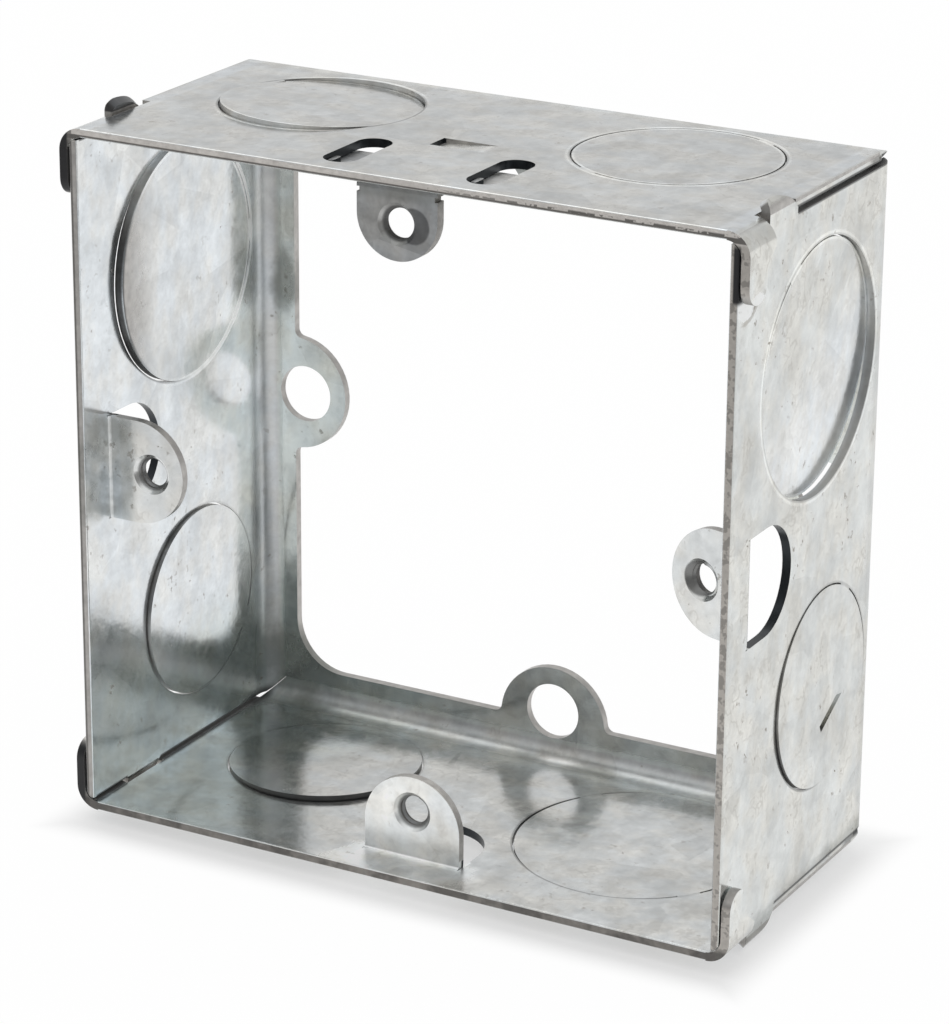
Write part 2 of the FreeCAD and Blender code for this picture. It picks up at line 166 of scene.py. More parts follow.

# The two knockouts of each wall, the one on the negative side first. Of each: its place along
# the wall and in depth with its radius, then which way the painted shade in its gap lies and
# how dark that shade is
KNOCKOUTS = {
    "top": (
        ((-19.7, -14.5, 10.3), (1.0, 0.0, 0.9)),
        ((19.7, -14.5, 10.3), (1.0, 0.0, 0.5)),
    ),
    "bottom": (
        ((-19.7, -14.5, 10.3), (0.59, -0.81, 1.0)),
        ((18.1, -16.4, 12.7), (-0.64, -0.77, 0.8)),
    ),
    "right": (
        ((-15.3, -13.5, 10.3), (-0.87, -0.5, 0.6)),
        ((18.1, -16.4, 12.7), (-0.87, 0.5, 0.2)),
    ),
    "left": (
        ((-19.7, -14.5, 10.3), (0.5, -0.87, 0.45)),
        ((18.1, -16.4, 12.7), (-0.35, -0.94, 1.0)),
    ),
}

# How far from a knockout's rim its stamped line and its gap start to fade, and where they end
LINE_REACH = (0.08, 0.26)
GAP_REACH = (0.3, 0.6)

# How far the tapped bores lie from the middle, where the sliding one is along the wall, and
# where their shade starts to fade and where it ends
BORE_ROW = 30.15
SLIDING_BORE = -1.75
BORE_REACH = (1.65, 1.9)

# Share of a normal along a face's own axis, from which the face is taken for its edge
EDGE_TURN = (0.3, 0.6)

# Weights of the noises in the zinc's lightness, its roughness and its relief
LIGHTNESS_WEIGHTS = {
    "clouds": 2.2,
    "patches": 3.4,
    "grain": 1.8,
    "streaks": 1.2,
    "spangle": 0.7,
}
ROUGHNESS_WEIGHTS = {"patches": 0.16, "grain": 0.10, "spangle": 0.04}
RELIEF_WEIGHTS = {"clouds": 2.0, "patches": 0.9}

# Size in metres of the wear on sheared edges, and the factors on the colours at its two ends
WEAR_SIZE = 0.0010
WEAR_RANGE = (0.6, 1.4)
ZINC_RANGE = (0.70, 1.30)

# Factors on red, green and blue
PLAIN = (1.0, 1.0, 1.0, 1.0)
COOL_PATCH = (0.985, 1.0, 1.015, 1.0)
WARM_PATCH = (1.02, 1.0, 0.97, 1.0)
# Painted reflection: lighter and bluer inside the side walls
LIT_SIDE_INSIDES = (1.07, 1.09, 1.11, 1.0)
OTHER_FACES = (1.0, 1.0, 0.99, 1.0)
# Painted shade: the right wall's outside a little darker
SHADED_RIGHT_OUTSIDE = (0.945, 0.945, 0.93, 1.0)
SHADED_INSIDE = (0.85, 0.89, 0.88, 1.0)
# Painted light: the bottom wall's inside a little lighter
LIT_FLOOR_INSIDE = (1.07, 1.07, 1.07, 1.0)
# Painted light: the rear ring's face lighter
LIT_RING_FACE = (1.08, 1.11, 1.09, 1.0)
# Painted light on the bottom lug, the sheet before it, the dent's slope and lit knockout gaps
PAINTED_LIGHT = (1.35, 1.35, 1.35, 1.0)
LEFT_RIM = (1.05, 1.05, 1.05, 1.0)
RIGHT_RIM = (1.22, 1.19, 1.15, 1.0)
# Painted highlight on the upper rim
UPPER_RIM_HIGHLIGHT = (1.75, 1.72, 1.70, 1.0)
# Painted shade on the lower rim, in deeper and softer patches
LOWER_RIM_SHADE_DEEP = (0.30, 0.29, 0.28, 1.0)
LOWER_RIM_SHADE_SOFT = (0.56, 0.54, 0.52, 1.0)

# Colours of marks and of painted shade
# The stamped line, and painted shade on the dark side of knockout gaps
STAMPED_LINE_AND_SHADE = (0.10, 0.10, 0.10, 1.0)
# Dark burr specks, and painted shade along the front rim
BURR_AND_SHADE = (0.06, 0.055, 0.05, 1.0)
# Painted shade in the knockout gaps and on the cut faces of openings
GAP_SHADE = (0.035, 0.04, 0.045, 1.0)
# Dull patches: painted reflection, painted shade, and darker ovals on the rear ring
DULL_PATCH = (0.13, 0.145, 0.125, 1.0)
# Painted shade, nearly black
SHADE_BLACK = (0.02, 0.02, 0.022, 1.0)


# Shader values as Python expressions


class Wire:
    """An output socket of a shader node; sums on it add Math nodes."""

    def __init__(self, tree, socket=None):
        self.tree = tree
        self.socket = socket

    def node(self, kind, settings=None, inputs=None, output=0):
        """Add any node: its settings first, then the values or links of its sockets."""
        made = self.tree.nodes.new(kind)
        for name, value in (settings or {}).items():
            setattr(made, name, value)
        for name, value in (inputs or {}).items():
            if isinstance(value, Wire):
                self.tree.links.new(value.socket, made.inputs[name])
            else:
                made.inputs[name].default_value = value
        return Wire(self.tree, made.outputs[output]) if made.outputs else None

    def math(self, operation, *values):
        """One Math node on up to three values or links."""
        return self.node(
            "ShaderNodeMath", {"operation": operation}, dict(enumerate(values))
        )

    def __add__(self, other):
        return self.math("ADD", self, other)

    __radd__ = __add__

    def __sub__(self, other):
        return self.math("SUBTRACT", self, other)

    def __rsub__(self, other):
        return self.math("SUBTRACT", other, self)

    def __mul__(self, other):
        return self.math("MULTIPLY", self, other)

    __rmul__ = __mul__

    def __truediv__(self, other):
        return self.math("DIVIDE", self, other)

    def __abs__(self):
        return self.math("ABSOLUTE", self)

    def root(self):
        """The square root of a value."""
        return self.math("SQRT", self)

    def least(self, other):
        """The smaller of two values."""
        return self.math("MINIMUM", self, other)

    def most(self, *others):
        """The largest of this value and some others."""
        largest = self
        for other in others:
            largest = self.math("MAXIMUM", largest, other)
        return largest

    def above(self, limit):
        """1 where this value is larger than a limit, and 0 elsewhere."""
        return self.math("GREATER_THAN", self, limit)

    def ramp(self, low, high, start=0.0, end=1.0):
        """Go smoothly from start to end while this value goes from low to high."""
        return self.node(
            "ShaderNodeMapRange",
            {"interpolation_type": "SMOOTHSTEP"},
            {"Value": self, "From Min": low, "From Max": high, "To Min": start, "To Max": end},
        )

    def fade(self, low, high):
        """1 up to low and 0 from high."""
        return self.ramp(low, high, 1.0, 0.0)

    def within(self, low, high, soft):
        """1 between low and high, 0 outside, with soft ends. None leaves a side open."""
        rise = 1.0 if low is None else self.ramp(low - soft, low + soft)
        fall = 1.0 if high is None else self.fade(high - soft, high + soft)
        return rise * fall

    def stretched(self, factors):
        """Scale a vector by a factor on each axis."""
        return self.node(
            "ShaderNodeVectorMath", {"operation": "MULTIPLY"}, {0: self, 1: factors}
        )

    def split(self):
        """The three numbers of a vector."""
        first = self.node("ShaderNodeSeparateXYZ", {}, {"Vector": self})
        return [Wire(self.tree, socket) for socket in first.socket.node.outputs]

    def noise(self, size, detail, rough):
        """Noise whose features are about one size across, in metres."""
        return self.node(
            "ShaderNodeTexNoise",
            {"noise_dimensions": "3D"},
            {"Vector": self, "Scale": 1.0 / size, "Detail": detail, "Roughness": rough},
        )

    def pick(self, low, high):
        """The first vector where this value is 0, and the second where it is 1."""
        return self.node(
            "ShaderNodeMix", {"data_type": "VECTOR"}, {0: self, 4: low, 5: high}, 1
        )

    def blend(self, under, over):
        """A colour between two, with this value as the share of the second."""
        return self.node(
            "ShaderNodeMix", {"data_type": "RGBA"}, {0: self, 6: under, 7: over}, 2
        )

    def tinted(self, mask, factors, elsewhere=PLAIN):
        """This colour with factors on it where a mask is 1, and others where it is 0."""
        return self.node(
            "ShaderNodeMix",
            {"data_type": "RGBA", "blend_type": "MULTIPLY"},
            {0: 1.0, 6: self, 7: mask.blend(elsewhere, factors)},
            2,
        )


class Place:
    """The coordinates of a point of the surface, in millimetres."""

    def __init__(self, vector):
        self.vector = vector
        self.x, self.y, self.z = vector.stretched((MILLIMETRES,) * 3).split()
        self.abs_x, self.abs_z = abs(self.x), abs(self.z)
        self.out = self.abs_x.most(self.abs_z)
        self.along = self.abs_x.least(self.abs_z)
        self.on_side = self.abs_x.above(self.abs_z)

    def region(self, name):
        """1 in a region of the table, and 0 outside it."""
        return math.prod(
            getattr(self, coordinate).within(low, high, soft)
            for coordinate, low, high, soft in REGIONS[name]
        )

    def steps(self, name):
        """Steps from the middle of an oval along its axes, where 1 step ends at its rim."""
        return [
            (getattr(self, axis) - middle) / half
            for axis, middle, half in zip(*OVALS[name])
        ]


def rgba(colour, level=1.0):
    """A colour with four numbers, made lighter or darker."""
    return tuple(level * part for part in colour[:3]) + (1.0,)


def new_material(name):
    """An empty node material, and a wire on its tree to build on."""
    material = bpy.data.materials.new(name)
    material.use_nodes = True
    material.node_tree.nodes.clear()
    return material, Wire(material.node_tree)


# Masks of the galvanised finish, with its painted light and shade


def surface_noises(vector, settings):
    """The noises that the finish is made of, each around 0.5."""
    spangle = vector.node(
        "ShaderNodeTexVoronoi",
        {"feature": "F1"},
        {"Vector": vector, "Scale": 1.0 / settings.spangle_size},
        "Color",
    )
    drawn_out = vector.stretched((1.0, 0.4, 0.16))
    wide = vector.stretched((1.0, 1.2, 0.9))
    return {
        "clouds": vector.noise(settings.cloud_size, 2.0, 0.55),
        "patches": vector.noise(settings.patch_size, 3.0, 0.66),
        "grain": vector.noise(settings.grain_size, 2.0, 0.75),
        "streaks": drawn_out.noise(settings.grain_size, 1.0, 0.5),
        "spangle": spangle.split()[0],
        "warmth": wide.noise(settings.patch_size * 1.3, 2.0, 0.6),
        "bends": vector.noise(settings.smear_size, 3.0, 0.7),
        "specks": vector.noise(settings.speck_size, 2.0, 0.7),
        "wear": vector.noise(WEAR_SIZE, 2.0, 0.65),
    }


def sheared_edges(place, normal):
    """Masks of the sheared edges: all of them, the front rim, and the cut faces of the windows,
    slots and the dent's end, which get painted shade.
    """
    nx, ny, nz = [abs(part) for part in normal.split()]
    walls = place.region("walls")
    facing = place.on_side * nx + (1.0 - place.on_side) * nz
    wall_edge = walls * place.region("ahead_of_bend") * facing.fade(*EDGE_TURN)
    wall_edge = wall_edge * (1.0 - place.region("lug_bend"))
    plate_edge = (1.0 - walls) * ny.fade(*EDGE_TURN)
    openings = place.region("window").most(place.region("slot"), place.region("dent_end"))
    edge = wall_edge.most(plate_edge) * (1.0 - place.region("strike_mark"))
    return edge, walls * place.region("front_rim"), wall_edge * openings


def knockout_rings(place):
    """Masks round the wall's knockouts: the stamped line, the gap, and the gap's side with
    painted shade.
    """
    on_side = place.on_side
    run = on_side * place.z + (1.0 - on_side) * place.x
    second = run.above(0.0)
    high = (on_side * place.x + (1.0 - on_side) * place.z).above(0.0)

    def of_this_knockout(part):
        """One part of the knockout's row in the table, chosen by the place."""
        top, bottom, right, left = [
            second.pick(*[row[part] for row in KNOCKOUTS[wall]])
            for wall in ("top", "bottom", "right", "left")
        ]
        return on_side.pick(high.pick(bottom, top), high.pick(left, right)).split()

    along, depth, radius = of_this_knockout(0)
    run_way, depth_way, darkness = of_this_knockout(1)
    u, v = run - along, place.y - depth
    off = abs((u * u + v * v).root() - radius)
    way = (u * run_way + v * depth_way) / radius
    # On the top wall the painted shade lies at both ends of a gap
    on_top = (1.0 - on_side) * high
    way = on_top * (way * way) + (1.0 - on_top) * way
    walls = place.region("knocked_walls")
    gap = off.fade(*GAP_REACH) * walls
    return off.fade(*LINE_REACH) * walls, gap, gap * way.ramp(0.1, 0.9) * darkness


def rim_burr_and_shade(place, wear):
    """Dark marks along the front rim: painted shade under the top wall and outside on the left,
    and dark burr specks.
    """
    torn = place.region("torn_rim") * wear.ramp(0.47, 0.54)
    right = place.region("right_rim") * wear.ramp(0.50, 0.58)
    left = place.region("left_rim")
    # Painted shade under the top wall and outside on the left; burr specks on the top and right
    # rims
    return place.region("under_top_rim").most(torn, left * 0.8, right * 0.6)


def rim_factors(place, patches):
    """Factors on the bare steel's colour along the front rim: lighter towards the right, a
    painted highlight on the upper rim and patchy painted shade on the lower rim.
    """
    factors = place.region("left_to_right").blend(LEFT_RIM, RIGHT_RIM)
    # Painted highlight on the upper rim
    factors = place.region("upper_rim").blend(factors, UPPER_RIM_HIGHLIGHT)
    # Patchy painted shade on the lower rim
    lower = patches.ramp(0.42, 0.58).blend(LOWER_RIM_SHADE_DEEP, LOWER_RIM_SHADE_SOFT)
    return place.region("lower_rim").blend(factors, lower)


def bore_shade(place):
    """The darkness inside the tapped bores."""
    u, v = place.out - BORE_ROW, place.along
    fixed = u * u + v * v
    u, v = place.x - SLIDING_BORE, place.z - BORE_ROW
    distance = fixed.least(u * u + v * v).root()
    return distance.fade(*BORE_REACH) * place.region("lug_plates")


def painted_shade(place):
    """Painted shade: on the left tabs, under the right ones, in the open seams, the rear corners
    and the bores.
    """
    seam = place.region("seam") * (1.0 - place.region("side_tab"))
    return place.region("left_tabs").most(
        place.region("upper_left_tab") * 0.9,
        place.region("under_right_tab"),
        seam * 0.8,
        place.region("rear_corner") * 0.85,
        bore_shade(place) * 0.65,
    )


def dull_patches(place, patches):
    """Dull patches: a painted reflection of the left lug beside it, darker ovals on the rear
    ring, and painted shade at the right wall's foot and along the adjustable lug's top.
    """
    uneven = (patches - 0.5) * 2.0
    # Painted reflection of the left lug on the wall's strip in front of it
    lug = place.region("left_lug_reflection") * (0.6 + uneven * 2.0)
    # Darker ovals on the rear ring
    across, up = place.steps("upper_ring_oval")
    upper = (across * across + up * up + uneven).fade(0.3, 1.5)
    across, up = place.steps("lower_ring_oval")
    lower = (across * across + up * up + uneven).fade(0.3, 1.6)
    ring = place.region("ring") * upper.most(lower)
    # Painted shade at the right wall's foot, darker towards the rear
    foot_line = place.z + uneven * 0.8 - place.y * 0.05
    foot = place.region("right_face") * foot_line.fade(-34.2, -32.6)
    # Painted shade along the adjustable lug's top, under the top wall
    top = place.region("lug_top_shade")
    return (lug * 0.42).most(ring * 0.5, foot * 0.35, top * 0.3)


def painted_light_places(place):
    """Painted light: the bottom lug, the sheet before it, and the dent's slope."""
    return (place.region("bottom_lug") * 0.8).most(
        place.region("before_bottom_lug") * 0.6, place.region("dent_slope") * 0.6
    )


def scuffed(place, patches):
    """The bright scuff under the upper right tab, and the brown edge round it."""
    across, up = place.steps("scuff")
    reach = across * across + up * up + (patches - 0.5) * 2.2
    on_right = place.region("right_face")
    ring = reach.within(1.0, 1.7, 0.2) * (across - up * 0.5).ramp(0.0, 0.6)
    return reach.fade(0.75, 1.0) * on_right, ring * on_right


# Galvanised finish


def zinc_colour(place, noises, settings):
    """The clean zinc: cloudy and faintly spangled, and a little different on each face through
    painted light and shade: a painted reflection inside the side walls, painted shade outside on
    the right and low on the left inside, and painted light on the bottom wall's inside.
    """
    lightness = sum(
        ((noises[name] - 0.5) * (weight * settings.mottle))
        for name, weight in LIGHTNESS_WEIGHTS.items()
    )
    dark, light = [rgba(settings.colour, level) for level in ZINC_RANGE]
    colour = (0.5 + lightness).ramp(0.0, 1.0).blend(dark, light)
    colour = colour.tinted(noises["warmth"].ramp(0.35, 0.65), WARM_PATCH, COOL_PATCH)
    # Painted reflection: lighter and bluer inside the side walls
    colour = colour.tinted(place.region("side_insides"), LIT_SIDE_INSIDES, OTHER_FACES)
    # Painted shade: the right wall's outside a little darker
    colour = colour.tinted(place.region("right_outside"), SHADED_RIGHT_OUTSIDE)
    shaded = place.region("left_inside_foot").most(place.region("floor_left") * 0.8)
    colour = colour.tinted(shaded, SHADED_INSIDE)
    # Painted light: the bottom wall's inside a little lighter
    return colour.tinted(place.region("floor"), LIT_FLOOR_INSIDE)


def dirty(place, noises):
    """Dark smears that curl over the sheet, and specks."""
    on_right = place.region("right_outside")
    curls = abs(noises["bends"] - 0.5).fade(0.0, 0.035) * noises["warmth"].ramp(0.48, 0.62)
    smears = curls * (1.0 - place.region("side_insides") * 0.5) * (0.16 + on_right * 0.06)
    specks = noises["specks"].ramp(0.64, 0.72) * noises["clouds"].ramp(0.42, 0.6)
    return smears.most(specks * (0.5 + on_right * 0.3))


def galvanised(name, settings):
    """Zinc-coated steel: cloudy grey, faint spangle, smears, specks and sheared edges, with
    painted shade, highlights and reflections.
    """
    material, start = new_material(name)
    place = Place(start.node("ShaderNodeTexCoord", output="Object"))
    normal = start.node("ShaderNodeTexCoord", output="Normal")
    noises = surface_noises(place.vector, settings)
    patches, wear = noises["patches"], noises["wear"]
    dirt_colour = settings.dirt_colour

    dirt = dirty(place, noises)
    lines, gaps, shaded_gaps = knockout_rings(place)
    # The lit side of each knockout gap, which gets a painted highlight on the top and upper side
    # walls
    lit_gaps = gaps - shaded_gaps
    # The stamped line, darker where painted shade lies in a knockout gap
    drawn = lines * (0.16 + place.region("right_outside") * 0.16 + shaded_gaps * 0.5)
    scuff, scuff_edge = scuffed(place, patches)
    colour = zinc_colour(place, noises, settings)
    colour = dirt.blend(colour, rgba(dirt_colour))
    colour = drawn.blend(colour, STAMPED_LINE_AND_SHADE)
    colour = (scuff_edge * 0.5).blend(colour, rgba(dirt_colour, 0.9))
    colour = (scuff * 0.8).blend(colour, rgba(settings.colour, ZINC_RANGE[1]))
    # Painted light: the rear ring's face lighter
    colour = colour.tinted(place.region("ring_face"), LIT_RING_FACE)

    edge, rim, shaded_openings = sheared_edges(place, normal)
    bare = wear.blend(*[rgba(settings.cut_colour, level) for level in WEAR_RANGE])
    # Painted highlight on the upper rim and painted shade on the lower rim
    bare = bare.tinted(rim, rim_factors(place, patches))
    # Dark burr specks, and painted shade under the top wall and outside on the left
    bare = (rim * rim_burr_and_shade(place, wear) * 0.85).blend(bare, BURR_AND_SHADE)
    # The lit side of the knockout gaps takes the zinc's lighter colour
    bare = (lit_gaps * 0.75).blend(bare, colour)
    # Painted shade in the dark side of the knockout gaps
    bare = (shaded_gaps * 0.8).blend(bare, GAP_SHADE)
    # Painted shade on the cut faces of the windows, the slots and the dent's end
    bare = shaded_openings.blend(bare, GAP_SHADE)
    colour = edge.blend(colour, bare)

    # Dull patches: mostly painted reflection and painted shade, and darker ovals on the rear ring
    dull_patch = dull_patches(place, patches)
    colour = dull_patch.blend(colour, DULL_PATCH)
    raised = place.region("top_outside").most(place.region("upper_side_walls"))
    # Painted light on the bottom lug, the sheet before it and the dent's slope, and a painted
    # highlight on the lit knockout gaps of the top and upper side walls
    pale = painted_light_places(place).most(lit_gaps * raised)
    colour = colour.tinted(pale, PAINTED_LIGHT)
    # Painted shade on the left tabs, under the right ones, in the open seams, the rear corners
    # and the bores
    shade_mask = painted_shade(place)
    colour = shade_mask.blend(colour, SHADE_BLACK)

    roughness = settings.roughness + sum(
        (noises[name] - 0.5) * weight for name, weight in ROUGHNESS_WEIGHTS.items()
    )
    roughness = roughness + dirt * 0.25 + scuff * 0.2 + edge * 0.15 + dull_patch * 0.2
    roughness = roughness + pale * 0.22 + place.region("rear_bend") * 0.20 + shade_mask * 0.2
    metallic = 0.96 - dirt * 0.4 - edge * (0.2 + rim * 0.5)
    metallic = metallic * (1.0 - dull_patch * 0.4) * (1.0 - shade_mask * 0.6)
    height = sum(noises[name] * weight for name, weight in RELIEF_WEIGHTS.items())
    bump = start.node(
        "ShaderNodeBump",
        {},
        {"Strength": 1.0, "Distance": 0.001, "Height": height * settings.relief},
    )
    shader = start.node(
        "ShaderNodeBsdfPrincipled",
        {},
        {"Base Color": colour, "Metallic": metallic, "Roughness": roughness, "Normal": bump},
    )
    start.node("ShaderNodeOutputMaterial", {}, {"Surface": shader})
    return material


def dress(node, material):
    """Give every material slot of a CAD node the same finish."""
    data = frame["nodes"][node].data
    if not data.materials:
        data.materials.append(material)
    for index in range(len(data.materials)):
        data.materials[index] = material


# Settings


def length_setting(name, description, default, precision=4):
    """A setting that is a length in metres."""
    return FloatProperty(
        name=name, description=description, default=default, unit="LENGTH", precision=precision
    )


def share_setting(name, description, default):
    """A setting from 0 to 1."""
    return FloatProperty(
        name=name, description=description, default=default, subtype="FACTOR", min=0.0, max=1.0
    )


def level_setting(name, description, default):
    """A setting that is never negative."""
    return FloatProperty(name=name, description=description, default=default, min=0.0)


def colour_setting(name, description, default):
    """A setting that is a colour."""
    return FloatVectorProperty(
        name=name, description=description, default=default, subtype="COLOR", min=0.0, max=1.0
    )


class FinishSettings:
    """Sizes and colours of one galvanised finish."""

    cloud_size: length_setting("Clouds", "Size of the broad light and dark clouds", 0.012)
    patch_size: length_setting("Patches", "Size of the patches in the zinc", 0.0036)
    grain_size: length_setting("Grain", "Size of the finest grain in the zinc", 0.0012)
    spangle_size: length_setting("Spangle", "Size of the zinc crystals", 0.0055)
    smear_size: length_setting("Smears", "Size of the curls of the dark smears", 0.0045)
    speck_size: length_setting("Specks", "Size of the dark specks", 0.0011)
    relief: level_setting("Relief", "Depth of the sheet's waviness, in millimetres", 0.030)
    dirt_colour: colour_setting("Dirt", "Colour of the specks and smudges", (0.30, 0.27, 0.23))
    cut_colour: colour_setting(
        "Sheared edge",
        "Colour of the sheared edges, where the steel is bare",
        (0.46, 0.445, 0.425),
    )


class SheetFinish(FinishSettings, PropertyGroup):
    """Finish of the box."""

    colour: colour_setting(
        "Zinc", "Middle colour of the zinc on the box", RECORD_COLOURS["galvanised_sheet"]
    )
    mottle: share_setting("Mottle", "How much the zinc varies between light and dark", 0.20)
    roughness: share_setting("Roughness", "Middle roughness of the box", 0.17)


class LugFinish(FinishSettings, PropertyGroup):
    """Finish of the adjustable lug."""

    colour: colour_setting(
        "Zinc",
        "Middle colour of the zinc on the adjustable lug",
        RECORD_COLOURS["galvanised_lug"],
    )
    mottle: share_setting("Mottle", "How much the zinc varies between light and dark", 0.34)
    roughness: share_setting("Roughness", "Middle roughness of the adjustable lug", 0.42)


class ThreadSettings(PropertyGroup):
    """Sizes of the threads in the lugs."""

    pitch: length_setting(
        "Pitch", "Distance from one turn of the thread to the next", 0.0005, precision=5
    )
    ridge: length_setting(
        "Ridge", "How far the thread stands in from the bore", 0.0002, precision=5
    )
    radius: length_setting(
        "Bore radius", "Radius of the bore that the thread is cut in", 0.0016, precision=5
    )
    steps: IntProperty(
        name="Steps",
        description="Flat faces in one turn of the thread",
        default=40,
        min=12,
        max=128,
    )


class StudioSettings(PropertyGroup):
    """Floor, light and camera."""

    floor_colour: colour_setting("Floor", "Colour of the floor", (0.93, 0.93, 0.93))
    floor_size: length_setting("Floor size", "Length of one side of the floor", 6.0)
    floor_glow: share_setting(
        "Floor glow", "Share of the floor that stays white in the object's shadow", 0.98
    )
    near_glow: share_setting(
        "Glow under the object",
        "Share of the floor that stays white right beside the object",
        0.46,
    )
    front_level: level_setting(
        "Front level", "Brightness of the room in front of the object, where 1 is white", 0.30
    )
    back_level: level_setting(
        "Back level", "Brightness of the room behind the object, where 1 is white", 0.70
    )
    zenith_level: level_setting(
        "Upper level", "Brightness of the room above the object, where 1 is white", 0.95
    )
    key_power: FloatProperty(
        name="Key light",
        description="Power of the soft lamp above",
        unit="POWER",
        default=0.45,
        min=0.0,
    )
    key_size: length_setting("Key light size", "Length of one side of the soft lamp", 0.45)
    key_place: FloatVectorProperty(
        name="Key light place",
        description="Where the soft lamp hangs",
        subtype="TRANSLATION",
        unit="LENGTH",
        default=(-0.25, 0.25, 0.55),
    )
    camera_place: FloatVectorProperty(
        name="Camera place",
        description="Where the camera stands",
        subtype="TRANSLATION",
        unit="LENGTH",
        default=(0.183086, -0.349202, 0.136005),
    )
    camera_turn: FloatVectorProperty(
        name="Camera turn",
        description="How the camera is turned",
        subtype="EULER",
        unit="ROTATION",
        default=tuple(math.radians(a) for a in (69.96064526, -0.39899601, 29.1109441)),
    )
    lens: FloatProperty(
        name="Lens",
        description="Focal length in millimetres on a sensor 36 mm wide",
        default=142.476,
        min=1.0,
    )
    shift_x: FloatProperty(
        name="Shift across",
        description="Sideways shift of the picture",
        default=0.0010264,
        precision=5,
    )
    shift_y: FloatProperty(
        name="Shift up",
        description="Upward shift of the picture",
        default=-0.0035479,
        precision=5,
    )


# Pieces


def nothing_selected():
    """Leave edit mode and clear the selection."""
    if bpy.context.object and bpy.context.object.mode != "OBJECT":
        bpy.ops.object.mode_set(mode="OBJECT")
    bpy.ops.object.select_all(action="DESELECT")


def only(piece):
    """Select one piece and make it the active one."""
    nothing_selected()
    piece.select_set(True)
    bpy.context.view_layer.objects.active = piece


def apply_place(piece):
    """Put a piece's place, turn and scale into its mesh."""
    only(piece)
    bpy.ops.object.transform_apply(location=True, rotation=True, scale=True)


def thread_piece(name, length, settings):
    """A helical ridge round the Z axis, centred on the origin, for one bore."""
    nothing_selected()
    flank = settings.ridge
    bpy.ops.mesh.primitive_circle_add(
        vertices=4, radius=flank, location=(settings.radius, 0, 0), rotation=(math.pi / 2, 0, 0)
    )
    piece = bpy.context.object
    piece.name = name
    piece.data.name = name
    apply_place(piece)
    turns = (length - 2 * flank) / settings.pitch
    rise = turns * settings.pitch
    bpy.ops.object.mode_set(mode="EDIT")
    bpy.ops.mesh.select_all(action="SELECT")
    bpy.ops.transform.translate(value=(0, 0, -rise / 2))
    bpy.ops.object.mode_set(mode="OBJECT")
    winding = piece.modifiers.new("Winding", "SCREW")
    winding.axis = "Z"
    winding.angle = 2 * math.pi * turns
    winding.screw_offset = rise
    winding.iterations = 1
    winding.steps = winding.render_steps = max(12, round(settings.steps * turns))
    winding.use_merge_vertices = False
    bpy.ops.object.modifier_apply(modifier=winding.name)
    bpy.ops.object.mode_set(mode="EDIT")
    bpy.ops.mesh.select_all(action="SELECT")
    bpy.ops.mesh.remove_doubles(threshold=1e-7)
    bpy.ops.mesh.fill_holes(sides=0)
    bpy.ops.mesh.select_all(action="SELECT")
    bpy.ops.mesh.normals_make_consistent(inside=False)
    bpy.ops.object.mode_set(mode="OBJECT")
    bpy.ops.object.shade_smooth_by_angle(angle=math.radians(40))
    return piece


def set_in_bore(piece, centre, axis):
    """Turn a piece from the Z axis to a bore's axis and move it to the bore's middle."""
    only(piece)
    turn = Vector((0, 0, 1)).rotation_difference(Vector(axis).normalized()).to_matrix()
    piece.matrix_world = Matrix.Translation(Vector(centre)) @ turn.to_4x4()
    bpy.context.view_layer.update()
    apply_place(piece)


# Each thread in the box: name, middle of the bore, axis and length, in metres
THREADS = (
    ("left_lug_thread", (-0.03015, -0.0296, 0.0), (0, -1, 0), 0.0010),
    ("bottom_lug_thread", (0.0, -0.0296, -0.03015), (0, -1, 0), 0.0010),
    ("right_lug_thread", (0.03065, -0.02865, 0.0), (-0.284, -0.959, 0), 0.0010),
)
SLIDING_THREAD = ("adjustable_lug_thread", (-0.00175, -0.02975, 0.03015), (0, -1, 0), 0.0007)


# Studio

# Where the floor's reflection fades in front of the object, and how far beside the object the
# shadow lies, in metres from the origin and from the walls
FRONT_FADE = (-0.23, -0.09)
SHADOW_REACH = 0.005
WALL_FACE = 0.036
FLOOR_GAP = 0.00005

# Heights and depths of a direction between which the room's brightness changes
ROOM_DEPTHS = (-0.55, -0.05)
ROOM_HEIGHTS = (0.4, 0.9)


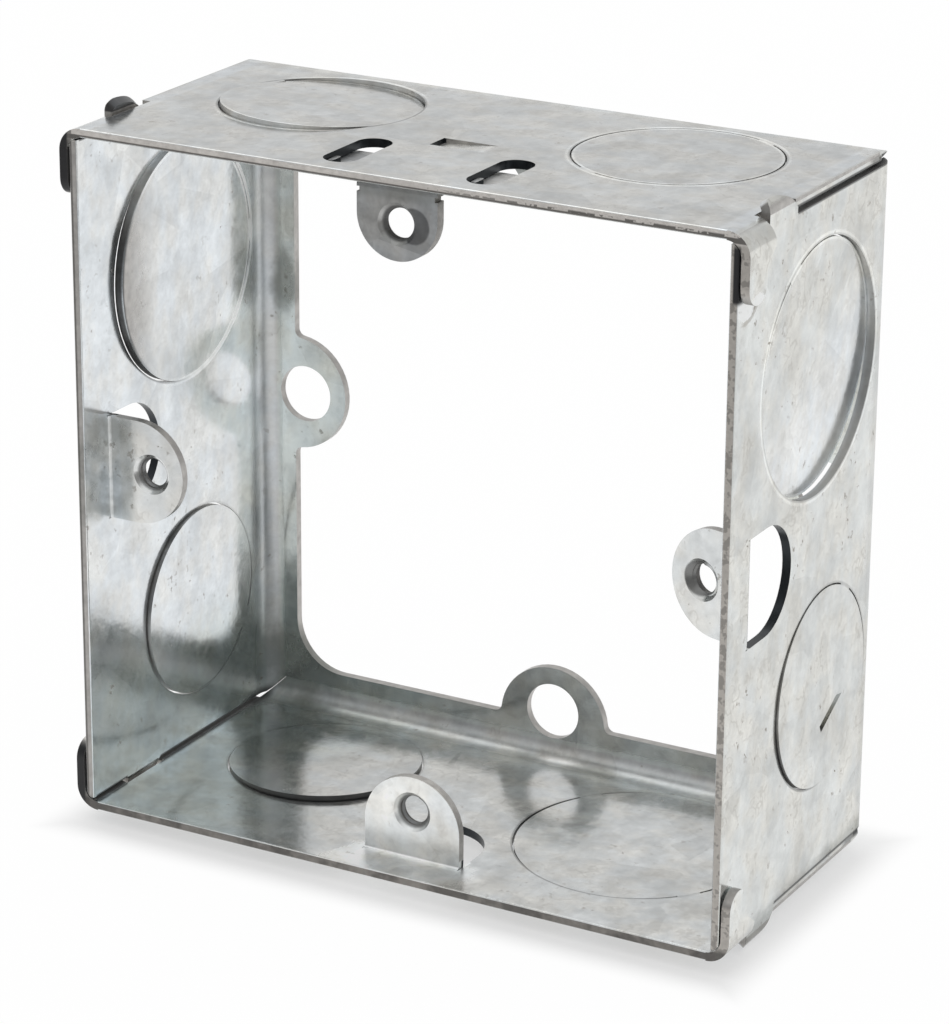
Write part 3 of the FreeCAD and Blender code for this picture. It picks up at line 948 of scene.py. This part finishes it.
def studio_floor(settings):
    """A pale floor that stays white and keeps the object's soft shadow."""
    nothing_selected()
    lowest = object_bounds()[0].z
    bpy.ops.mesh.primitive_plane_add(
        size=settings.floor_size, location=(0, 0, lowest - FLOOR_GAP)
    )
    floor = bpy.context.object
    floor.name = "studio_floor"
    apply_place(floor)
    material, start = new_material("Studio floor")
    vector = start.node("ShaderNodeTexCoord", output="Object")
    x, y, _ = vector.split()
    camera_ray, glossy_ray, through_ray = [
        start.node("ShaderNodeLightPath", output=name)
        for name in ("Is Camera Ray", "Is Glossy Ray", "Is Transmission Ray")
    ]
    seen = camera_ray + through_ray
    front = y.ramp(*FRONT_FADE, settings.front_level, 1.0)
    glow = start.node(
        "ShaderNodeEmission",
        {},
        {"Color": PLAIN, "Strength": seen + glossy_ray * front},
    )
    paint = vector.noise(0.02, 3.0, 0.5).blend(
        rgba(settings.floor_colour, 0.99), rgba(settings.floor_colour, 1.01)
    )
    matt = start.node("ShaderNodeBsdfDiffuse", {}, {"Color": paint, "Roughness": 0.0})
    beside = (abs(x) - WALL_FACE).most(y, cad_box[0].y - y)
    share = beside.ramp(0.0, SHADOW_REACH, settings.near_glow, settings.floor_glow)
    mixed = start.node(
        "ShaderNodeMixShader", {}, {0: (seen + glossy_ray) * share, 1: matt, 2: glow}
    )
    start.node("ShaderNodeOutputMaterial", {}, {"Surface": mixed})
    floor.data.materials.append(material)
    floor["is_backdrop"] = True


def studio_world(settings):
    """White behind the object, and a room that is darker in front of it."""
    world = bpy.data.worlds.new("Studio")
    bpy.context.scene.world = world
    world.use_nodes = True
    world.node_tree.nodes.clear()
    start = Wire(world.node_tree)
    _, depth, height = start.node("ShaderNodeTexCoord", output="Generated").split()
    camera_ray, through_ray = [
        start.node("ShaderNodeLightPath", output=name)
        for name in ("Is Camera Ray", "Is Transmission Ray")
    ]
    room = depth.ramp(*ROOM_DEPTHS, settings.front_level, settings.back_level)
    room = room + height.ramp(*ROOM_HEIGHTS) * (settings.zenith_level - room)
    seen = (camera_ray + through_ray).least(1.0)
    strength = seen + (1.0 - seen) * room
    light = start.node(
        "ShaderNodeBackground", {}, {"Color": PLAIN, "Strength": strength}
    )
    start.node("ShaderNodeOutputWorld", {}, {"Surface": light})


def studio_lamp(settings):
    """One large soft lamp above and behind, aimed at the object."""
    bpy.ops.object.light_add(type="AREA", location=settings.key_place)
    lamp = bpy.context.object
    lamp.name = "key_lamp"
    lamp.data.shape = "SQUARE"
    lamp.data.size = settings.key_size
    lamp.data.energy = settings.key_power
    lamp.rotation_euler = (-lamp.location).to_track_quat("-Z", "Y").to_euler()


def studio_camera(settings):
    """The camera at the picture's angle."""
    bpy.ops.object.camera_add(
        location=settings.camera_place, rotation=settings.camera_turn
    )
    camera = bpy.context.object
    camera.name = "camera"
    camera.data.lens = settings.lens
    camera.data.sensor_width = 36.0
    camera.data.sensor_fit = "AUTO"
    camera.data.shift_x = settings.shift_x
    camera.data.shift_y = settings.shift_y
    camera.data.clip_start = 0.01
    camera.data.clip_end = 50.0
    bpy.context.scene.camera = camera


# Operators


class BACKBOX_OT_sheet_finish(Operator):
    """Give the box its bright galvanised finish"""

    bl_idname = "backbox.sheet_finish"
    bl_label = "Finish the box"

    def execute(self, context):
        dress("box", galvanised("Galvanised sheet", context.scene.backbox_sheet))
        return {"FINISHED"}


class BACKBOX_OT_lug_finish(Operator):
    """Give the adjustable lug its darker galvanised finish"""

    bl_idname = "backbox.lug_finish"
    bl_label = "Finish the adjustable lug"

    def execute(self, context):
        dress("adjustable_lug", galvanised("Galvanised lug", context.scene.backbox_lug))
        return {"FINISHED"}


class BACKBOX_OT_lug_threads(Operator):
    """Wind a thread into the bore of every lug"""

    bl_idname = "backbox.lug_threads"
    bl_label = "Wind the threads"

    def execute(self, context):
        settings = context.scene.backbox_threads
        sheet = frame["nodes"]["box"].data.materials[0]
        dull = frame["nodes"]["adjustable_lug"].data.materials[0]
        for name, centre, axis, length in THREADS:
            piece = thread_piece(name, length, settings)
            set_in_bore(piece, centre, axis)
            piece.data.materials.append(sheet)
            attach(piece, "frame")
        name, centre, axis, length = SLIDING_THREAD
        piece = thread_piece(name, length, settings)
        set_in_bore(piece, centre, axis)
        piece.data.materials.append(dull)
        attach(piece, "lug")
        return {"FINISHED"}


class BACKBOX_OT_studio(Operator):
    """Set up the floor, the light and the camera"""

    bl_idname = "backbox.studio"
    bl_label = "Set up the studio"

    def execute(self, context):
        settings = context.scene.backbox_studio
        studio_floor(settings)
        studio_world(settings)
        studio_lamp(settings)
        studio_camera(settings)
        context.scene.view_settings.view_transform = "Standard"
        return {"FINISHED"}


# Each operator with the settings that the panel shows under it
STEPS = (
    ("backbox.sheet_finish", "backbox_sheet"),
    ("backbox.lug_finish", "backbox_lug"),
    ("backbox.lug_threads", "backbox_threads"),
    ("backbox.studio", "backbox_studio"),
)


class BACKBOX_PT_panel(Panel):
    """Finishes, threads and studio of the back box"""

    bl_idname = "BACKBOX_PT_panel"
    bl_label = "Extension back box"
    bl_space_type = "VIEW_3D"
    bl_region_type = "UI"
    bl_category = "Back box"

    def draw(self, context):
        for operator, group in STEPS:
            part = self.layout.box()
            part.operator(operator)
            settings = getattr(context.scene, group)
            for name in settings.bl_rna.properties.keys():
                if name not in {"rna_type", "name"}:
                    part.prop(settings, name)


GROUPS = {
    "backbox_sheet": SheetFinish,
    "backbox_lug": LugFinish,
    "backbox_threads": ThreadSettings,
    "backbox_studio": StudioSettings,
}

CLASSES = (
    *GROUPS.values(),
    BACKBOX_OT_sheet_finish,
    BACKBOX_OT_lug_finish,
    BACKBOX_OT_lug_threads,
    BACKBOX_OT_studio,
    BACKBOX_PT_panel,
)


def register():
    for made in CLASSES:
        bpy.utils.register_class(made)
    for name, group in GROUPS.items():
        setattr(bpy.types.Scene, name, PointerProperty(type=group))


def unregister():
    for name in GROUPS:
        delattr(bpy.types.Scene, name)
    for made in reversed(CLASSES):
        bpy.utils.unregister_class(made)


def main():
    """Make everything in order."""
    register()
    bpy.ops.backbox.sheet_finish()
    bpy.ops.backbox.lug_finish()
    bpy.ops.backbox.lug_threads()
    bpy.ops.backbox.studio()


if __name__ == "__main__":
    main()
